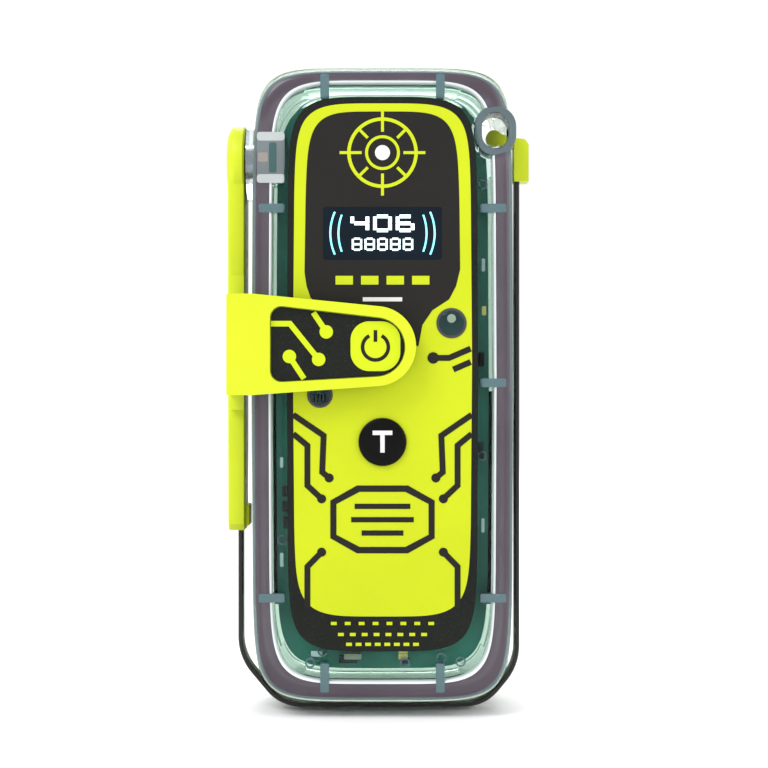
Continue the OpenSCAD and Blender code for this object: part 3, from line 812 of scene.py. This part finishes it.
def arm_shaft(bm):
    """The arm's side outline, swept across its thickness."""
    side = [(HINGE_Y - 5.4, HINGE_Z), (HINGE_Y - 4.6, arm_low.z + 1.2),
            (HINGE_Y - 3.4, arm_low.z), (HINGE_Y + 3.4, arm_low.z),
            (HINGE_Y + 4.6, arm_low.z + 1.2), (HINGE_Y + 5.4, HINGE_Z)]
    add_skin(bm, [loop_at_x(bm, side, x) for x in (ARM_SHAFT_X, ARM_INNER_X)])


arm = new_object("arm_moulding", arm_shaft, NEON)
cut(arm, box_piece("arm_catch", (ARM_INNER_X - 0.1, arm_high.x), (HINGE_Y - 3, HINGE_Y + 2.4),
                   (32.6, 36.4), NEON), operation="UNION")
bevel(arm, 0.6, 4, 0.9)
place(arm, "antenna_arm", "neon", "antenna_arm")


def arm_head(bm):
    """A disc with a domed outer side."""
    r = arm_high.z - HINGE_Z
    depth = ARM_SHAFT_X - arm_low.x + 1.3
    profile = [(ARM_INNER_X, r - 0.3), (ARM_INNER_X - 0.3, r)]
    profile += [(arm_low.x + depth * (1 - sin(a)), r - 2.6 * (1 - cos(a)))
                for a in (pi / 2 * i / 8 for i in range(9))]
    add_skin(bm, [loop_at_x(bm, circle((HINGE_Y, HINGE_Z), ring, 72), x)
                  for x, ring in profile])


place(new_object("arm_head", arm_head, NEON, 0.6), "antenna_arm", "neon")

# ---------------------------------------------------------------- antenna blade
# Its points are in metres, as the joints and boxes are
BEND_REACH = 0.0036
ROOT_END_Z = 0.0275
bends = [joints[f"blade_bend_{k}"] for k in range(1, 5)]
knots = [Vector((j["pos_m"][0], j["pos_m"][2])) for j in bends]
root_low, root_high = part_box("antenna_root")
last_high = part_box("blade_4")[1]
blade_x = (root_low.x + root_high.x) / 2
path = [Vector((blade_x, root_high.z))] + knots + [Vector((knots[-1].x, last_high.z))]
half_t = (root_high.x - root_low.x) / 2
half_w = (root_high.y - root_low.y) / 2
mid_y = (root_high.y + root_low.y) / 2
middles = [(a + b) / 2 for a, b in zip(path, path[1:])]
middles[0] = Vector((blade_x, ROOT_END_Z))


def strip(name, points):
    """A flat strip with softened edges along a line in the XZ plane."""
    edge_w, edge_t = half_w * 0.8, half_t * 0.6
    section = [(-half_t, -edge_w), (-half_t, edge_w), (-edge_t, half_w), (edge_t, half_w),
               (half_t, edge_w), (half_t, -edge_w), (edge_t, -half_w), (-edge_t, -half_w)]

    def build(bm):
        loops = []
        for i, p in enumerate(points):
            d = (points[min(i + 1, len(points) - 1)] - points[max(i - 1, 0)]).normalized()
            n = Vector((-d.y, d.x))
            loops.append([bm.verts.new((p.x + n.x * s, mid_y + w, p.y + n.y * s))
                          for s, w in section])
        add_skin(bm, loops)
    return new_object(name, build, BLADE, 0.8)


def straight(a, b, count=6):
    return [a.lerp(b, i / count) for i in range(count + 1)]


place(strip("blade_root", straight(path[0], middles[0])), "antenna_arm", "blade",
      "antenna_root")
for k, knot in enumerate(knots):
    a, b = middles[k], middles[k + 1]
    reach = min((knot - a).length, (b - knot).length, BEND_REACH)
    start = knot + (a - knot).normalized() * reach
    end = knot + (b - knot).normalized() * reach
    curve = [start.lerp(knot, t).lerp(knot.lerp(end, t), t)
             for t in (i / 14 for i in range(15))]
    piece = strip(f"blade_bend_{k + 1}",
                  straight(a, start, 4)[:-1] + curve + straight(end, b, 4)[1:])
    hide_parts(f"blade_{k + 1}")
    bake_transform(piece)
place(strip("blade_end", straight(middles[-1], path[-1])), "blade_4", "blade")

# ---------------------------------------------------------------- stage
def floor_mesh(bm):
    """A pale floor that curves up into a backdrop."""
    flat_y, curve_r, half_x, drop = 1.2, 0.8, 4, 0.0002
    profile = [(-3.0, 0.0), (flat_y, 0.0)]
    profile += [(flat_y + curve_r * sin(a), curve_r - curve_r * cos(a))
                for a in (pi / 24 * i for i in range(13))]
    profile += [(flat_y + curve_r, 4.0)]
    rows = [[bm.verts.new((x, y, z - drop)) for y, z in profile] for x in (-half_x, half_x)]
    for i in range(len(profile) - 1):
        bm.faces.new((rows[0][i], rows[0][i + 1], rows[1][i + 1], rows[1][i]))


FLOOR = material("floor", (0.95, 0.95, 0.95), 0.8, 0.005, bump=0)
new_object("floor", floor_mesh, FLOOR, 0.9)

world = bpy.data.worlds.new("studio")
bpy.context.scene.world = world
world.use_nodes = True
background = world.node_tree.nodes["Background"]
background.inputs["Color"].default_value = (1, 1, 1, 1)
background.inputs["Strength"].default_value = 1.04


def area_light(name, at, size, power):
    light = bpy.data.lights.new(name, "AREA")
    light.shape, light.size, light.energy = "SQUARE", size, power
    obj = bpy.data.objects.new(name, light)
    bpy.context.scene.collection.objects.link(obj)
    obj.location = at
    aim = Vector((0, 0, MID_Z * MM)) - Vector(at)
    obj.rotation_euler = aim.to_track_quat("-Z", "Y").to_euler()


area_light("key", (-0.5, -0.6, 0.8), 0.5, 6)
area_light("fill", (0.7, -0.5, 0.35), 0.6, 2.5)
area_light("back", (0.1, 0.7, 0.7), 0.6, 4)

# A view straight on to the front, from close by
FRONT_PLANE_Y = PANEL_Y * MM
DISTANCE = 0.320
VIEW_WIDTH = 0.1325
camera = bpy.data.cameras.new("camera")
camera.sensor_width = 36
camera.lens = camera.sensor_width * DISTANCE / VIEW_WIDTH
camera.clip_start = 0.01
camera_obj = bpy.data.objects.new("camera", camera)
bpy.context.scene.collection.objects.link(camera_obj)
camera_obj.location = (0.00026, FRONT_PLANE_Y - DISTANCE, 0.0577)
camera_obj.rotation_euler = (pi / 2, 0, 0)
bpy.context.scene.camera = camera_obj
bpy.context.scene.view_settings.view_transform = "Standard"
